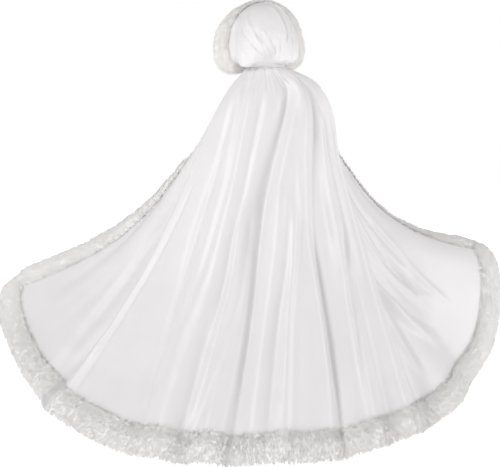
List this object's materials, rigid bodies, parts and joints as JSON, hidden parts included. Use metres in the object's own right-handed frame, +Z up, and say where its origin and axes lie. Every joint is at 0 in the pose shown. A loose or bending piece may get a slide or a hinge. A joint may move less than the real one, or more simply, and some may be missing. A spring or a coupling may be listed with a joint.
{
  "type": "hooded bridal cape",
  "caption": "Floor-length hooded cape of heavy lustrous cloth with plush fur-trimmed edges, draped open in its worn form with both fronts held out.",
  "frame": {"origin": "centre of the neck opening, in the plane of the seam between hood and cape", "axes": "+Z up, -Y towards the garment's front, +X towards the garment's own left side"},
  "size_m": [2.2933, 1.3403, 1.7376],
  "materials": {
    "cape_cloth": "satin",
    "faux_fur": "plush pile",
    "closure_steel": "satin"
  },
  "bodies": {
    "root": {"cape_back": "cape_cloth", "cape_left_front": "cape_cloth", "cape_right_front": "cape_cloth", "hood": "cape_cloth", "neck_band": "cape_cloth", "trim_front_left": "faux_fur", "trim_front_right": "faux_fur", "trim_hem": "faux_fur", "trim_hood": "faux_fur", "neck_hook": "closure_steel", "neck_eye": "closure_steel"}
  },
  "joints": []
}
